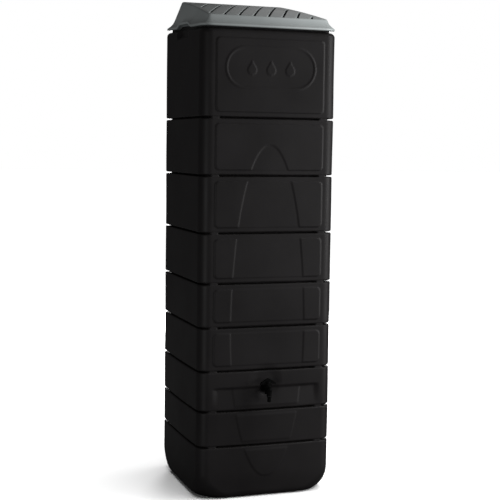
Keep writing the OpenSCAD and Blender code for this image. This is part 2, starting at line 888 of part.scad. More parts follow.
tank_body();
tap_bush();
drain_bush();
bracket_inserts();
wall_brackets();
bracket_washers();
bracket_bolts();
lid_shell();
insect_screen();
screen_frame();
screen_screws();
tap_seal();
tap_body();
tap_plug();
plug_seals();
plug_gland();
tap_handle();
handle_screw();
outlet_seal();
hose_tail();
drain_seal();
drain_plug();
inlet_gasket();
inlet_spigot();
inlet_nut();
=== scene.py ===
import math

import bmesh
import bpy
import numpy as np
from mathutils import Matrix, Vector


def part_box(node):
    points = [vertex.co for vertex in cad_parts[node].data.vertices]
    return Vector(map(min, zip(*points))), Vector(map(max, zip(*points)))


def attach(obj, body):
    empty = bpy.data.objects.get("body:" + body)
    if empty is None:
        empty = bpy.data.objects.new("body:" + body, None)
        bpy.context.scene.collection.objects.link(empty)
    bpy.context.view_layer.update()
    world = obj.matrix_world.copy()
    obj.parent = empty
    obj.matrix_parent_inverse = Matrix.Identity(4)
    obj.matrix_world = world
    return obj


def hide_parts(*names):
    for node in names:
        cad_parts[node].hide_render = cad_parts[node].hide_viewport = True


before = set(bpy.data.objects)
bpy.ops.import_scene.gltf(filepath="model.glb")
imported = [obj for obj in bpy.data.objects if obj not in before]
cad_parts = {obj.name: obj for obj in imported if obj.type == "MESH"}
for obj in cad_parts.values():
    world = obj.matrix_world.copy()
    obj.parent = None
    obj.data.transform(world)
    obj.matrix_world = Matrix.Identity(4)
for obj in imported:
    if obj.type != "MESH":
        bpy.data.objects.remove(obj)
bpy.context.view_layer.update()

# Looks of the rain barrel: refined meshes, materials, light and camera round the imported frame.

MM = 0.001


def middle(node):
    """Centre of a CAD node's box."""
    low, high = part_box(node)
    return [(a + b) / 2 for a, b in zip(low, high)]


# ---- tank sizes, in metres; the frame's boxes give the outer ones ----

TANK_LOW, TANK_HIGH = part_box("tank_body")
HALF_W = (TANK_HIGH[0] - TANK_LOW[0]) / 2
HALF_D = TANK_HIGH[1]
CORNER_R = 48 * MM
WALL = 5 * MM
# heights of the lower eight bands, from the floor up; a V groove lies at the top of each
BAND_HEIGHTS = np.array([227, 152, 171, 185, 186, 212, 240, 240]) * MM
GROOVES = np.cumsum(BAND_HEIGHTS)
TOP_BAND = 385 * MM
SEAT_Z = GROOVES[-1] + TOP_BAND
SEAT_TILT = math.radians(2.5)
GROOVE_DEPTH = 25 * MM
GROOVE_GAP = 7 * MM
GROOVE_TIP = 3 * MM
LIP_R = 6 * MM
# the foot: a rounded edge all round, and corners that are cut out of a ball
BASE_R = 30 * MM
BALL_H = 110 * MM
BALL_CENTRE = 124 * MM
FOOT_R_MIN = 6 * MM
# the shoulder and the neck that the lid sits on, which lean back with the seat
SHOULDER_R = 20 * MM
NECK_DROP = 8 * MM
NECK_INSET = 24 * MM
NECK_WALL = 8 * MM
NECK_RISE = 10 * MM
NECK_EDGE_R = 2.5 * MM
TILT_START, TILT_RUN = SEAT_Z - 56 * MM, 26 * MM
LOWER_BULGE = 6 * MM
BULGE_FADE = 260 * MM
# (scale, height in millimetres) of the rings that close the underside and the floor inside
UNDERSIDE = ((0.05, 4), (0.3, 4), (0.6, 4), (0.85, 4), (0.9, 4), (0.915, 3), (0.93, 0), (0.97, 0))
FLOOR_INSIDE = ((0.97, 22), (0.92, 12), (0.85, 7), (0.5, 6), (0.05, 6))

# ---- what is moulded on the front; an EDGE is the width over which a shape fades out ----

FIRST_PANEL = 3
PANEL_HALF_W = 238 * MM
PANEL_RISE = 3 * MM
PANEL_MARGIN = 24 * MM
PANEL_TOP_GAP = 58 * MM
PANEL_R = 16 * MM
PANEL_EDGE = 4.5 * MM
# the long oval, which runs over the panels and over the bands below them
OVAL_HALF_W = 165 * MM
OVAL_TOP, OVAL_MID, OVAL_FOOT = 1502 * MM, 710 * MM, 90 * MM
OVAL_DEPTH = 2 * MM
OVAL_EDGE = 6 * MM
OVAL_BAND_MARGIN, OVAL_BAND_EDGE = 18 * MM, 10 * MM
# upright ribs that bridge the grooves
RIB_X = 238 * MM
RIB_HALF_W = 18 * MM
RIB_SINK = 1.5 * MM
RIB_EDGE = 6 * MM
RIB_REACH = 20 * MM
# the badge on the top band: a long ring round three drops
BADGE_Z = GROOVES[-1] + 207 * MM
BADGE_R = 88 * MM
BADGE_STRAIGHT = 112 * MM
BADGE_LINE = 9 * MM
BADGE_RISE = 1.8 * MM
BADGE_EDGE = 5 * MM
DROP_R = 20 * MM
DROP_PITCH = 84 * MM

# ---- tap seat, sloping shelf, finger grips and the pads of drain and inlet ----

TAP_X, _, TAP_Z = middle("tap_bush")
SPOT_R = 27 * MM
SPOT_EDGE = 3 * MM
SPOT_RISE = 0.4 * MM
HANDLE_Z = middle("tap_handle")[2]
SWING_R, SWING_EDGE = 55 * MM, 50 * MM
SHELF_DEPTH = 8 * MM
SHELF_HALF_W = 230 * MM
SHELF_TOP, SHELF_FOOT = TAP_Z + 4 * MM, GROOVES[1] + 14 * MM
SHELF_SIDE_EDGE, SHELF_ROOF_EDGE = 30 * MM, 12 * MM
GRIP_HALF_W = 75 * MM
GRIP_LOW = SEAT_Z - NECK_DROP - 42.6 * MM
GRIP_DEPTH = 16 * MM
GRIP_SIDE_EDGE, GRIP_FOOT_EDGE = 16 * MM, 22 * MM
PAD_RADII = {"drain_seal": 26 * MM, "inlet_gasket": 34 * MM}
PAD_RISE, PAD_EDGE = 0.5 * MM, 4 * MM

# ---- lid sizes; heights are above the seat and slopes are run over rise ----

LID_LOW, LID_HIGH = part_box("lid_shell")
RIM_HALF_W = (LID_HIGH[0] - LID_LOW[0]) / 2
RIM_HALF_D = HALF_D
RIM_T = 12 * MM
LEDGE_H = 14 * MM
LID_WALL = 4 * MM
LID_CORNER_R_MIN = 16 * MM
FLARE_H = 42 * MM
FLARE_FOOT = 4 * MM
SIDE_FOOT, FRONT_FOOT, BACK_FOOT = 36 * MM, 32.5 * MM, 36 * MM
SIDE_LEAN, FRONT_LEAN, BACK_LEAN = (math.tan(math.radians(a)) for a in (18.5, 12, 17))
# the top: a plane that rises to the back, slightly crowned
LID_SLOPE = math.radians(11.6)
LID_FRONT_Y = -266 * MM
LID_FRONT_Z = SEAT_Z + 37.5 * MM
LID_CROWN = 4.5 * MM
TOP_BACK_Y = LID_HIGH[1] - 50 * MM
SHARP_ANGLE = math.radians(38)
# the rim arches up over the finger grips
GRIP_ARCH = 15 * MM
ARCH_HALF_W, ARCH_EDGE = 86.8 * MM, 62 * MM
ARCH_H = 56 * MM
# diagonal slots, along the slope; LEFT and RIGHT are their field's limits at front and back
SLOT_COUNT = 10
SLOT_PITCH = 64.5 * MM
SLOT_SHIFT = 7.5 * MM
SLOT_W = 10 * MM
SLOT_END_R = 8 * MM
SLOT_SLOPE = math.tan(math.radians(23))
SLOT_LOW_Y = 9 * MM
SLOT_RUN = 490 * MM
SLOT_LEFT = (-250 * MM, -192 * MM)
SLOT_RIGHT = (222 * MM, 228 * MM)
# (growth of the outline, height over the lid top) of a slot cutter's rings, in millimetres
SLOT_CUT = ((0, -12), (0, -0.8), (0.7, 0), (1.4, 9))

# ---- screen sizes, along the slope of the lid ----

SCREEN_LOW, SCREEN_HIGH = 31 * MM, 485 * MM
SCREEN_FRONT_HALF, SCREEN_BACK_HALF = 238 * MM, 211 * MM
SCREEN_T = 1.2 * MM
WIRE_PITCH = 8 * MM
WIRE_R = 0.45 * MM
WEAVE = 0.4 * MM


# ---- small helpers ----

def smooth(x):
    """An S-shaped step from 0 at 0 to 1 at 1."""
    x = np.clip(x, 0.0, 1.0)
    return x * x * (3 - 2 * x)


def box_sdf(x, y, half_w, half_h, r):
    """Signed distance to a rounded rectangle centred on the origin: negative inside."""
    dx = np.abs(x) - half_w + r
    dy = np.abs(y) - half_h + r
    outside = np.hypot(np.maximum(dx, 0), np.maximum(dy, 0))
    return outside + np.minimum(np.maximum(dx, dy), 0) - r


def inside(sdf, edge):
    """1 inside a shape, 0 outside, with a soft edge of the given width."""
    return smooth(0.5 - sdf / edge)


def new_object(name, data):
    obj = bpy.data.objects.new(name, data)
    bpy.context.scene.collection.objects.link(obj)
    return obj


def smooth_mesh(name, verts, faces):
    mesh = bpy.data.meshes.new(name)
    mesh.from_pydata(verts, [], faces)
    mesh.polygons.foreach_set("use_smooth", np.ones(len(mesh.polygons), bool))
    mesh.update()
    return mesh


def turn_outward(mesh):
    """Points every face's normal out of the solid."""
    bm = bmesh.new()
    bm.from_mesh(mesh)
    bmesh.ops.recalc_face_normals(bm, faces=bm.faces[:])
    bm.to_mesh(mesh)
    bm.free()


def stand_in(obj, material, node, body):
    """Gives an object its material and puts it in place of a CAD node on the node's body."""
    obj.data.materials.clear()
    obj.data.materials.append(material)
    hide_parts(node)
    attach(obj, body)


def ring_mesh(name, rings):
    """A closed skin through rings of points (rings, columns, 3), each end closed by a fan."""
    rows, cols = rings.shape[:2]
    verts = rings.reshape(-1, 3)
    i = np.arange(rows - 1)[:, None] * cols
    j = np.arange(cols)[None, :]
    nxt = (j + 1) % cols
    quads = np.stack([i + j, i + nxt, i + cols + nxt, i + cols + j], axis=-1).reshape(-1, 4)
    faces = quads.tolist()
    verts = verts.tolist()
    first, last = len(verts), len(verts) + 1
    verts += [rings[0].mean(axis=0).tolist(), rings[-1].mean(axis=0).tolist()]
    base = (rows - 1) * cols
    faces += [[(k + 1) % cols, k, first] for k in range(cols)]
    faces += [[base + k, base + (k + 1) % cols, last] for k in range(cols)]
    return smooth_mesh(name, verts, faces)


FRONT, RIGHT, BACK, LEFT = range(4)


class Loop:
    """Columns round a rounded rectangle, counter-clockwise from the left end of the front.

    A point is (sx * (hx - r) + nx * r, sy * (hy - r) + ny * r), so one set of columns serves
    every size and corner radius. Each column knows its face, and bend is how far it has turned
    past that face: 0 on the flat. A corner belongs to the face before it.
    """

    def __init__(self, front, side, corner):
        parts = []
        runs = [((-1, -1), (1, -1), -90, front), ((1, -1), (1, 1), 0, side),
                ((1, 1), (-1, 1), 90, side), ((-1, 1), (-1, -1), 180, side)]
        for face, (a, b, angle, count) in enumerate(runs):
            steps = np.linspace(0, 1, count)
            flat = np.array(a) + steps[:, None] * (np.array(b) - np.array(a))
            n = np.array([math.cos(math.radians(angle)), math.sin(math.radians(angle))])
            parts.append(np.column_stack([flat, np.tile(n, (count, 1)),
                                          np.full(count, face), np.zeros(count)]))
            turn = np.radians(angle + np.linspace(0, 90, corner + 2)[1:-1])
            bend = turn - math.radians(angle)
            parts.append(np.column_stack([np.tile(b, (corner, 1)), np.cos(turn),
                                          np.sin(turn), np.full(corner, face), bend]))
        table = np.vstack(parts)
        self.sx, self.sy, self.nx, self.ny, self.face, self.bend = table.T

    def points(self, hx, hy, r):
        """x and y of every column; hx, hy and r may be columns of values, one per row."""
        x = self.sx * (hx - r) + self.nx * r
        y = self.sy * (hy - r) + self.ny * r
        return x, y


# ---- materials ----

class Nodes:
    """A short way to write a node material."""

    def __init__(self, name):
        self.material = bpy.data.materials.new(name)
        self.material.use_nodes = True
        self.tree = self.material.node_tree
        self.shader = self.tree.nodes["Principled BSDF"]
        self.coords = self.add("ShaderNodeTexCoord").outputs["Object"]

    def add(self, kind, **values):
        node = self.tree.nodes.new(kind)
        for key, value in values.items():
            if hasattr(node, key):
                setattr(node, key, value)
            else:
                node.inputs[key.replace("_", " ")].default_value = value
        return node

    def link(self, source, target):
        self.tree.links.new(source, target)

    def noise(self, scale, detail, stretch=(1, 1, 1), rough=0.5):
        """Noise from 0 to 1, scale being its cells per metre."""
        mapping = self.add("ShaderNodeMapping")
        mapping.inputs["Scale"].default_value = stretch
        self.link(self.coords, mapping.inputs["Vector"])
        node = self.add("ShaderNodeTexNoise", Scale=scale, Detail=detail, Roughness=rough)
        self.link(mapping.outputs["Vector"], node.inputs["Vector"])
        return node.outputs["Fac"]

    def remap(self, value, low, high, to_low, to_high):
        """Maps low..high to to_low..to_high, and holds the ends beyond them."""
        node = self.add("ShaderNodeMapRange")
        for key, number in (("From Min", low), ("From Max", high),
                            ("To Min", to_low), ("To Max", to_high)):
            node.inputs[key].default_value = number
        self.link(value, node.inputs["Value"])
        return node.outputs["Result"]

    def mix(self, factor, a, b):
        """Colour a where factor is 0, b where it is 1; each may be a colour or a socket."""
        node = self.add("ShaderNodeMix", data_type="RGBA")
        if isinstance(factor, (int, float)):
            node.inputs["Factor"].default_value = factor
        else:
            self.link(factor, node.inputs["Factor"])
        for value, socket in ((a, node.inputs[6]), (b, node.inputs[7])):
            if isinstance(value, tuple):
                socket.default_value = (*value, 1)
            else:
                self.link(value, socket)
        return node.outputs[2]

    def maths(self, operation, a, b):
        node = self.add("ShaderNodeMath", operation=operation)
        for value, socket in ((a, node.inputs[0]), (b, node.inputs[1])):
            if isinstance(value, (int, float)):
                socket.default_value = value
            else:
                self.link(value, socket)
        return node.outputs[0]

    def bump(self, layers):
        """Stacks (height, distance in metres, strength) layers into the shader's normal."""
        last = None
        for height, distance, strength in layers:
            node = self.add("ShaderNodeBump", Strength=strength, Distance=distance)
            self.link(height, node.inputs["Height"])
            if last:
                self.link(last, node.inputs["Normal"])
            last = node.outputs["Normal"]
        self.link(last, self.shader.inputs["Normal"])

    def facing_up(self):
        """1 on faces that look straight up, 0 on upright ones."""
        geometry = self.add("ShaderNodeNewGeometry")
        split = self.add("ShaderNodeSeparateXYZ")
        self.link(geometry.outputs["Normal"], split.inputs["Vector"])
        return split.outputs["Z"]

    def edges(self):
        """Convex edges as a 0 to 1 mask."""
        geometry = self.add("ShaderNodeNewGeometry")
        return self.remap(geometry.outputs["Pointiness"], 0.52, 0.6, 0, 1)


def moulded_plastic(name, dark, light, rough, grain=0.25, gloss=0.5, dust=0.0,
                    dust_color=(0.2, 0.19, 0.17)):
    """Moulded plastic: fine grain, slow colour drift, streaks, paler worn edges and dust on top."""
    n = Nodes(name)
    drift = n.noise(scale=3.5, detail=4)
    streak = n.noise(scale=26, detail=5, stretch=(1, 1, 0.06), rough=0.6)
    speck = n.noise(scale=420, detail=2)
    color = n.mix(n.remap(drift, 0.35, 0.65, 0, 1), dark, light)
    color = n.mix(n.remap(streak, 0.55, 0.8, 0, 0.35), color, light)
    worn = tuple(min(1.0, 2.2 * c + 0.002) for c in light)
    color = n.mix(n.maths("MULTIPLY", n.edges(), 0.35), color, worn)
    if dust:
        settled = n.remap(n.facing_up(), 0.4, 1.0, 0, dust)
        patches = n.remap(n.noise(scale=60, detail=5), 0.3, 0.7, 0.3, 1)
        patchy = n.maths("MULTIPLY", settled, patches)
        color = n.mix(patchy, color, dust_color)
    n.link(color, n.shader.inputs["Base Color"])
    shine = n.maths("ADD", n.remap(drift, 0.3, 0.7, -0.05, 0.06),
                    n.remap(speck, 0.3, 0.7, -0.03, 0.03))
    n.link(n.maths("ADD", shine, rough), n.shader.inputs["Roughness"])
    n.shader.inputs["Specular IOR Level"].default_value = gloss
    n.bump([(n.noise(scale=14, detail=3), 1.2 * MM, 0.35),
            (n.noise(scale=700, detail=2), 0.12 * MM, grain),
            (n.noise(scale=2600, detail=1), 0.04 * MM, grain)])
    return n.material


def metal(name, color, rough, amount, brushed=(1, 1, 1)):
    """Bare metal with fine scratches, and tarnish in patches up to an amount."""
    n = Nodes(name)
    stain = n.remap(n.noise(scale=55, detail=5), 0.45, 0.75, 0, amount)
    n.link(n.mix(stain, color, TARNISH), n.shader.inputs["Base Color"])
    n.shader.inputs["Metallic"].default_value = 1.0
    scratch = n.noise(scale=500, detail=3, stretch=brushed)
    n.link(n.remap(scratch, 0.3, 0.7, rough - 0.08, rough + 0.12), n.shader.inputs["Roughness"])
    n.bump([(scratch, 0.05 * MM, 0.4), (n.noise(scale=90, detail=3), 0.1 * MM, 0.2)])
    return n.material


def galvanised(name):
    """Zinc plate: small crystals in slightly different greys."""
    n = Nodes(name)
    cells = n.add("ShaderNodeTexVoronoi", Scale=160.0)
    n.link(n.coords, cells.inputs["Vector"])
    split = n.add("ShaderNodeSeparateColor")
    n.link(cells.outputs["Color"], split.inputs["Color"])
    flake = split.outputs["Red"]
    n.link(n.mix(flake, (0.11, 0.115, 0.12), (0.2, 0.205, 0.21)), n.shader.inputs["Base Color"])
    n.shader.inputs["Metallic"].default_value = 0.9
    n.link(n.remap(flake, 0, 1, 0.42, 0.6), n.shader.inputs["Roughness"])
    n.bump([(flake, 0.05 * MM, 0.3), (n.noise(scale=30, detail=3), 0.3 * MM, 0.2)])
    return n.material


def rubber(name):
    n = Nodes(name)
    n.link(n.mix(n.noise(scale=80, detail=4), (0.012, 0.012, 0.012), (0.03, 0.03, 0.03)),
           n.shader.inputs["Base Color"])
    n.link(n.remap(n.noise(scale=220, detail=3), 0.3, 0.7, 0.6, 0.8), n.shader.inputs["Roughness"])
    n.bump([(n.noise(scale=900, detail=2), 0.08 * MM, 0.5)])
    return n.material


TARNISH = (0.2, 0.17, 0.12)
TANK_BLACK = moulded_plastic("tank_black", (0.0135, 0.0120, 0.0125), (0.0185, 0.0166, 0.0173),
                             0.5, grain=0.3, gloss=0.22, dust=0.06)
LID_GREY = moulded_plastic("lid_grey", (0.215, 0.235, 0.235), (0.265, 0.285, 0.285), 0.45,
                           grain=0.3, gloss=0.4, dust=0.15, dust_color=(0.36, 0.35, 0.33))
TAP_BLACK = moulded_plastic("tap_black", (0.0006, 0.0006, 0.0006), (0.0014, 0.0014, 0.0014),
                            0.6, grain=0.2, gloss=0.08, dust=0.01)
FRAME_BLACK = moulded_plastic("frame_black", (0.02, 0.02, 0.022), (0.035, 0.035, 0.037), 0.5)
PLUG_WHITE = moulded_plastic("plug_white", (0.5, 0.5, 0.47), (0.62, 0.62, 0.58), 0.3)
BRASS = metal("brass", (0.4, 0.27, 0.1), 0.34, amount=0.35)
STEEL = metal("stainless", (0.24, 0.24, 0.245), 0.34, brushed=(1, 1, 12), amount=0.1)
ZINC = galvanised("zinc_plate")
SCREEN_WIRE = metal("screen_wire", (0.06, 0.06, 0.065), 0.5, amount=0.3)
RUBBER = rubber("rubber")


# ---- tank mesh ----

def arc(cx, cz, r, start, stop, steps):
    """Points of an arc in the (inset, height) plane; angles in degrees from +inset."""
    angles = np.radians(np.linspace(start, stop, steps + 1))
    return [(cx + r * math.cos(a), cz + r * math.sin(a)) for a in angles]


def groove_path(z):
    """(inset, height) points down one side of a V hoop groove and up the other, bottom first."""
    edge, tip = GROOVE_GAP / 2, GROOVE_TIP / 2
    run = GROOVE_DEPTH - LIP_R
    lean = math.degrees(math.atan2(edge - tip, run))
    half = arc(LIP_R, z - edge - LIP_R, LIP_R, 180, 90 - lean, 9)
    steps = (0.35, 0.7, 0.95, 1)
    half += [(LIP_R + run * t, z - edge + (edge - tip) * t) for t in steps]
    return half + [(inset, 2 * z - height) for inset, height in reversed(half)]


def stations(low, high, step, extra):
    """Heights between two limits, no further apart than step, with some exact ones added."""
    count = max(2, int(math.ceil((high - low) / step)) + 1)
    plain = np.linspace(low, high, count)
    closest = 0.4 * step
    keep = [z for z in plain if all(abs(z - e) > closest for e in extra)]
    return sorted(keep + [e for e in extra if low < e < high])


def both_sides(*heights):
    """Each height, with a point a little below it and one a little above."""
    near = 2 * MM
    return [z + side * near for z in heights for side in (-1, 0, 1)]


def band_range(k):
    """Lowest and highest point of the raised panel on band k."""
    low = GROOVES[k - 1] + PANEL_MARGIN
    high = SEAT_Z - PANEL_TOP_GAP if k == len(GROOVES) else GROOVES[k] - PANEL_MARGIN
    return low, high


def outer_path():
    """(inset, height) points from the edge of the underside up to the shoulder."""
    step = 4 * MM
    lip = GROOVE_GAP / 2 + LIP_R + step
    path = arc(BASE_R, BASE_R, BASE_R, -90, -180, 10)
    low = BASE_R + step
    for k, z in enumerate(GROOVES):
        extra = both_sides(*band_range(k)) if k >= FIRST_PANEL else []
        if k == FIRST_PANEL - 1:
            extra = both_sides(SHELF_TOP)
        path += [(0.0, h) for h in stations(low, z - lip, step, extra)]
        path += groove_path(z)
        low = z + lip
    top = SEAT_Z - NECK_DROP - SHOULDER_R
    extra = both_sides(*band_range(len(GROOVES)))
    path += [(0.0, h) for h in stations(low, top - step, step, extra)]
    return path + arc(SHOULDER_R, top, SHOULDER_R, 180, 90, 10)


def neck_path():
    """From the shoulder over the neck's rim and down to the inner wall."""
    r = NECK_EDGE_R
    foot, rim = SEAT_Z - NECK_DROP, SEAT_Z + NECK_RISE
    inner = NECK_INSET + NECK_WALL
    path = arc(NECK_INSET - r, foot + r, r, -90, 0, 3)
    path += arc(NECK_INSET + r, rim - r, r, 180, 90, 4)
    path += arc(inner - r, rim - r, r, 90, 0, 4)
    drop, bevel = 14 * MM, 9 * MM
    return path + [(inner, foot), (inner, foot - drop), (inner - bevel, foot - 2 * drop),
                   (WALL, foot - 3 * drop)]


def inner_path():
    """Down the inside of the wall, over the backs of the grooves, to the floor."""
    ramp, soft, bevel = 14 * MM, 3 * MM, 4 * MM
    half = GROOVE_GAP / 2 + WALL
    back = GROOVE_DEPTH + WALL
    side = [(WALL, half + ramp), (WALL + soft, half + soft), (back - bevel, half),
            (back, half - bevel)]
    path = []
    for z in reversed(GROOVES):
        path += [(inset, z + h) for inset, h in side]
        path += [(inset, z - h) for inset, h in reversed(side)]
    low = BASE_R + WALL
    return path + [(WALL, h) for h in (2 * BALL_H, BALL_H, 2 * low, low)]


def base_section(z):
    """(inset, corner radius) of the drawn-in foot at height z; its corners are ball-shaped."""
    diagonal = math.sqrt(2)
    lift = np.clip(BASE_R - z, 0, BASE_R)
    inset = BASE_R - np.sqrt(BASE_R ** 2 - lift ** 2)
    top_r = (BALL_CENTRE - CORNER_R) * diagonal + CORNER_R
    gain = top_r - (BALL_CENTRE - BASE_R)
    big_r = (gain ** 2 + BALL_H ** 2) / (2 * gain)
    down = np.clip(BALL_H - z, 0, BALL_H)
    ball_r = top_r - big_r + np.sqrt(big_r ** 2 - down ** 2)
    reach = (HALF_W - BALL_CENTRE) * diagonal + ball_r
    radius = ((HALF_W - inset) * diagonal - reach) / (diagonal - 1)
    return inset, np.where(z < BALL_H, radius, CORNER_R)


def oval_half(z):
    """Half width of the long oval on the front, which is fuller above its middle than below."""
    up = (z - OVAL_MID) / (OVAL_TOP - OVAL_MID)
    down = (OVAL_MID - z) / (OVAL_MID - OVAL_FOOT)
    t = np.where(z > OVAL_MID, up, down)
    return OVAL_HALF_W * np.sqrt(np.clip(1 - t * t, 0, 1))


def oval_sdf(u, z):
    step = 1 * MM
    half = oval_half(z)
    slope = (oval_half(z + step) - oval_half(z - step)) / (2 * step)
    beyond = np.maximum(z - OVAL_TOP, OVAL_FOOT - z)
    sides = (np.abs(u) - half) / np.sqrt(1 + slope ** 2)
    return np.where(beyond > 0, np.hypot(u, beyond) + 3 * step, sides)


def drop_sdf(x, y):
    """Signed distance, roughly, to a water drop: a circle with a pointed top."""
    shoulder, point = DROP_R / 2, 2 * DROP_R
    round_w = np.sqrt(np.clip(DROP_R ** 2 - y ** 2, 0, None))
    taper_w = (point - y) / (point - shoulder) * DROP_R * math.cos(math.pi / 6)
    width = np.where(y < shoulder, round_w, np.maximum(taper_w, 0))
    return np.where((y > -DROP_R) & (y < point), np.abs(x) - width, DROP_R)


def badge_relief(u, z):
    """1 on the ring and the drops of the badge."""
    y = z - BADGE_Z
    stadium = np.hypot(np.maximum(np.abs(u) - BADGE_STRAIGHT, 0), y) - BADGE_R
    raised = inside(np.abs(stadium + BADGE_LINE / 2) - BADGE_LINE / 2, BADGE_EDGE)
    for i in (-1, 0, 1):
        drop = drop_sdf(u - i * DROP_PITCH, y + DROP_R / 2)
        raised = np.maximum(raised, inside(drop, BADGE_EDGE))
    return raised


def front_relief(u, z):
    """Panels, oval and badge: how far the front stands in (positive) or out."""
    relief = np.zeros(np.broadcast(u, z).shape)
    oval = inside(oval_sdf(u, z), OVAL_EDGE)
    for k in range(FIRST_PANEL, len(GROOVES) + 1):
        low, high = band_range(k)
        sdf = box_sdf(u, z - (low + high) / 2, PANEL_HALF_W, (high - low) / 2, PANEL_R)
        panel = inside(sdf, PANEL_EDGE)
        relief = relief - PANEL_RISE * panel + OVAL_DEPTH * panel * oval
    for k in range(FIRST_PANEL):
        low = (GROOVES[k - 1] if k else 0) + OVAL_BAND_MARGIN
        high = SHELF_TOP if k == FIRST_PANEL - 1 else GROOVES[k] - OVAL_BAND_MARGIN
        band = inside(np.abs(z - (low + high) / 2) - (high - low) / 2, OVAL_BAND_EDGE)
        relief = relief - OVAL_DEPTH * band * oval
    return relief - BADGE_RISE * badge_relief(u, z)


def lower_bulge(a, z):
    """How far the lower bands swell out in the middle of each side."""
    swell = np.clip(1 - (a / (HALF_W - CORNER_R)) ** 2, 0, 1)
    fade = smooth((GROOVES[FIRST_PANEL] - z) / BULGE_FADE)
    return LOWER_BULGE * swell * fade * smooth(z / BALL_H)


def tap_recess(u, z):
    """Depth of the sloping shelf across the front, and a mask of the tap's round seat in it."""
    across = inside(np.abs(u) - SHELF_HALF_W, SHELF_SIDE_EDGE)
    roof = inside(z - SHELF_TOP, SHELF_ROOF_EDGE)
    slope = np.clip((z - SHELF_FOOT) / (SHELF_TOP - SHELF_FOOT), 0, 1)
    seat = inside(np.hypot(u - TAP_X, z - TAP_Z) - SPOT_R, SPOT_EDGE)
    return SHELF_DEPTH * across * roof * slope, seat


def rib_fill(u, z, inset):
    """How far the upright ribs fill the grooves near the edges of the front."""
    rib = inside(np.abs(np.abs(u) - RIB_X) - RIB_HALF_W, RIB_EDGE)
    to_groove = np.abs(z - GROOVES).min(axis=1, keepdims=True)
    return rib * np.where(to_groove < RIB_REACH, np.maximum(inset - RIB_SINK, 0), 0)


def grip_sink(y, z, inset):
    """Depth of the finger grips under the lid's rim."""
    grip = inside(np.abs(y) - GRIP_HALF_W, GRIP_SIDE_EDGE) * smooth((z - GRIP_LOW) / GRIP_FOOT_EDGE)
    return np.maximum(GRIP_DEPTH * grip - inset, 0)


def waviness(a, z):
    """The slight unevenness of a large moulded wall."""
    return 0.35 * MM * (np.sin(9.1 * a + 4.3 * z) + np.sin(14.7 * z - 5.9 * a + 1.3)
                        + 0.6 * np.sin(23.0 * a + 2.0 * np.sin(11.0 * z)))


def front_coordinate(loop, x, hx, r):
    """Distance from the middle of the front, measured along the wall and round its corners."""
    side = np.where(loop.bend > 0, np.where(loop.face == FRONT, 1, -1), 0)
    bend = np.where(loop.face == LEFT, np.pi / 2 - loop.bend, loop.bend)
    return np.where(side == 0, x, side * (hx - r + r * bend))


def wall_relief(loop, x, y, u, z, inset):
    """How far the outside stands in (positive) or out, beside the grooves."""
    flat = loop.bend == 0
    front = (loop.face == FRONT) | ((loop.face == LEFT) & ~flat)
    along = np.where(np.isin(loop.face, (FRONT, BACK)), x, y)
    # the wall stays flat where the tap's handle swings
    calm = inside(np.hypot(u - TAP_X, z - HANDLE_Z) - SWING_R, SWING_EDGE) * front
    scoop, seat = tap_recess(u, z)
    seat = seat * front
    relief = front * (front_relief(u, z) + scoop) - flat * lower_bulge(along, z) * (1 - calm)
    relief = relief * (1 - seat) + (SHELF_DEPTH - SPOT_RISE) * seat
    relief = relief - front * rib_fill(u, z, inset)
    relief = relief + flat * np.isin(loop.face, (RIGHT, LEFT)) * grip_sink(y, z, inset)
    # flat pads round the drain and the inlet, a little proud of the wall
    for node, pad_r in PAD_RADII.items():
        pad = inside(np.hypot(y, z - middle(node)[2]) - pad_r, PAD_EDGE)
        relief = relief - flat * (loop.face == RIGHT) * PAD_RISE * pad
    return relief + (inset < 1 * MM) * waviness(along, z) * (1 - seat)


def tank_rings():
    loop = Loop(front=169, side=49, corner=12)
    outer = outer_path()
    path = np.array(outer + neck_path() + inner_path())
    inset, z = path[:, :1], path[:, 1:]
    on_outside = np.arange(len(path))[:, None] < len(outer)
    foot_inset, radius = base_section(z)
    tuck = inset + np.where(on_outside, 0, foot_inset)
    hx, hy = HALF_W - tuck, HALF_D - tuck
    r = np.maximum(radius - np.where(z < BALL_H, 0, inset), FOOT_R_MIN)
    x, y = loop.points(hx, hy, r)
    u = front_coordinate(loop, x, hx, r)
    relief = on_outside * wall_relief(loop, x, y, u, z, inset)
    x = x - loop.nx * relief
    y = y - loop.ny * relief
    height = z + smooth((z - TILT_START) / TILT_RUN) * y * math.tan(SEAT_TILT)
    return np.stack([x, y, height], axis=-1)


def shrink_rings(ring, steps):
    """Rings drawn in towards the middle of one ring; a step is a scale and a height in mm."""
    return np.stack([np.column_stack([ring[:, :2] * scale, np.full(len(ring), height * MM)])
                     for scale, height in steps])


def build_tank():
    rings = tank_rings()
    foot = shrink_rings(rings[0], UNDERSIDE)
    floor = shrink_rings(rings[-1], FLOOR_INSIDE)
    tank = new_object("tank_skin", ring_mesh("tank_skin", np.concatenate([foot, rings, floor])))
    stand_in(tank, TANK_BLACK, "tank_body", "tank")


# ---- lid mesh ----

def lid_plane_z(y):
    return LID_FRONT_Z + (y - LID_FRONT_Y) * math.tan(LID_SLOPE)


def lid_top_z(y):
    """Height of the lid's top, crowned between its front and its back."""
    run = (y - LID_FRONT_Y) / (TOP_BACK_Y - LID_FRONT_Y)
    return lid_plane_z(y) + LID_CROWN * np.clip(1 - (2 * run - 1) ** 2, 0, 1)


def flank_inset(h, foot, lean):
    """How far the flank stands in at height h above the seat: a hollow flare, then a lean."""
    t = np.clip((h - RIM_T) / FLARE_H, 0, 1)
    reach = foot - FLARE_FOOT
    share = lean * FLARE_H / reach
    flare = (1 - (1 - t) ** 3) * (1 - share) + t * share
    return FLARE_FOOT + reach * flare + np.maximum(h - RIM_T - FLARE_H, 0) * lean


